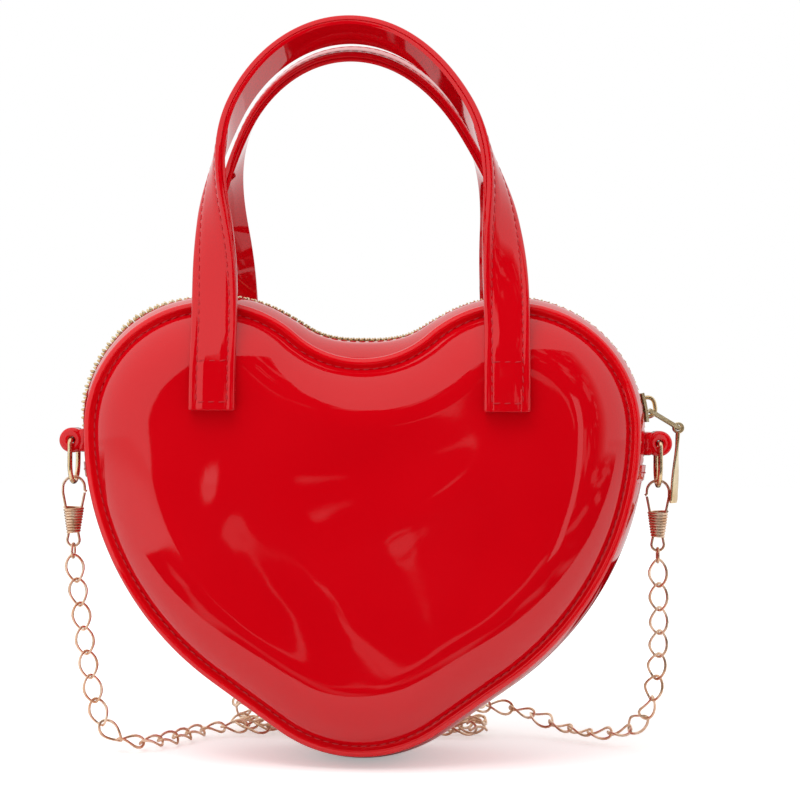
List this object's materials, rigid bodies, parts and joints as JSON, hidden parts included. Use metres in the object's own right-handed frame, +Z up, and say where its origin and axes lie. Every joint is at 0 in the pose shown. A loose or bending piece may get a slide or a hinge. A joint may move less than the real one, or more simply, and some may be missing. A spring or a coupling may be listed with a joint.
{
  "type": "heart shaped purse",
  "caption": "Heart shaped patent hand bag with piped padded faces, arched top zip, looped handles and a clip-on chain; the mouth, zip, handles and rings move.",
  "frame": {"origin": "under the middle of the two handles' tops, where a hand or hook carries the bag", "axes": "+X to the right of the bag, +Y to its back, +Z up"},
  "size_m": [0.2328, 0.1127, 0.2735],
  "materials": {
    "patent_sheet": "high gloss patent coating",
    "patent_piping": "glossy covered cord",
    "foam": "soft open foam",
    "lining_cloth": "woven lining",
    "zip_tape": "woven tape",
    "gold_metal": "light gold plated"
  },
  "bodies": {
    "bag": {"front_lower_panel": "patent_sheet", "front_lower_foam_pad": "foam", "front_lower_lining": "lining_cloth", "front_lower_piping": "patent_piping", "back_panel": "patent_sheet", "back_foam_pad": "foam", "back_lining": "lining_cloth", "back_piping": "patent_piping", "lower_gusset": "patent_sheet", "gusset_lining": "lining_cloth", "back_zip_strip": "patent_sheet", "back_zip_tape": "zip_tape", "back_zip_teeth": "gold_metal", "front_zip_strip_ends": "patent_sheet", "front_zip_tape_ends": "zip_tape", "front_zip_teeth_ends": "gold_metal", "zip_stops": "gold_metal", "right_tab": "patent_sheet", "left_tab": "patent_sheet", "left_clip_wire": "gold_metal", "right_clip_wire": "gold_metal", "left_clip_coil": "gold_metal", "right_clip_coil": "gold_metal", "left_jump_ring": "gold_metal", "right_jump_ring": "gold_metal", "chain_left": "gold_metal", "chain_folded": "gold_metal", "chain_right": "gold_metal", "back_strap_ends": "patent_sheet", "back_backing_ends": "patent_sheet"},
    "front_flap": {"front_upper_panel": "patent_sheet", "front_upper_foam_pad": "foam", "front_upper_lining": "lining_cloth", "front_upper_piping": "patent_piping", "front_zip_strip": "patent_sheet", "front_zip_tape": "zip_tape", "front_zip_teeth": "gold_metal", "front_strap_ends": "patent_sheet", "front_backing_ends": "patent_sheet"},
    "front_handle": {"front_handle_strap": "patent_sheet", "front_handle_backing": "patent_sheet"},
    "back_handle": {"back_handle_strap": "patent_sheet", "back_handle_backing": "patent_sheet"},
    "zip_slider": {"slider_body": "gold_metal", "slider_bridge": "gold_metal"},
    "zip_link": {"pull_link": "gold_metal"},
    "zip_pull": {"pull_tab": "gold_metal"},
    "left_d_ring": {"left_ring": "gold_metal"},
    "right_d_ring": {"right_ring": "gold_metal"},
    "left_gate": {"left_clip_gate": "gold_metal"},
    "right_gate": {"right_clip_gate": "gold_metal"}
  },
  "joints": [
    {"name": "mouth_fold", "type": "hinge", "parent": "bag", "child": "front_flap", "pos_m": [0, -0.041, -0.146], "axis": [1, 0, 0], "range_deg": [0, 28]},
    {"name": "front_handle_fold", "type": "hinge", "parent": "front_flap", "child": "front_handle", "pos_m": [0, -0.0452, -0.113], "axis": [1, 0, 0], "range_deg": [0, 75]},
    {"name": "back_handle_fold", "type": "hinge", "parent": "bag", "child": "back_handle", "pos_m": [0, 0.0452, -0.113], "axis": [-1, 0, 0], "range_deg": [0, 75]},
    {"name": "slider_travel", "type": "hinge", "parent": "bag", "child": "zip_slider", "pos_m": [0.054, 0, -0.146], "axis": [0, -1, 0], "range_deg": [0, 108]},
    {"name": "link_swing", "type": "hinge", "parent": "zip_slider", "child": "zip_link", "pos_m": [0.10643, 0, -0.13843], "axis": [0, -1, 0], "range_deg": [0, 95]},
    {"name": "pull_swing", "type": "hinge", "parent": "zip_link", "child": "zip_pull", "pos_m": [0.11672, 0, -0.14461], "axis": [0, -1, 0], "range_deg": [0, 100]},
    {"name": "left_ring_swing", "type": "hinge", "parent": "bag", "child": "left_d_ring", "pos_m": [-0.10931, 0, -0.1505], "axis": [0, 1, 0], "range_deg": [-3, 3]},
    {"name": "right_ring_swing", "type": "hinge", "parent": "bag", "child": "right_d_ring", "pos_m": [0.10931, 0, -0.1505], "axis": [0, 1, 0], "range_deg": [-3, 3]},
    {"name": "left_gate_open", "type": "hinge", "parent": "bag", "child": "left_gate", "pos_m": [-0.10906, 0, -0.1757], "axis": [0, -1, 0], "range_deg": [0, 18]},
    {"name": "right_gate_open", "type": "hinge", "parent": "bag", "child": "right_gate", "pos_m": [0.10906, 0, -0.1757], "axis": [0, 1, 0], "range_deg": [0, 18]}
  ]
}
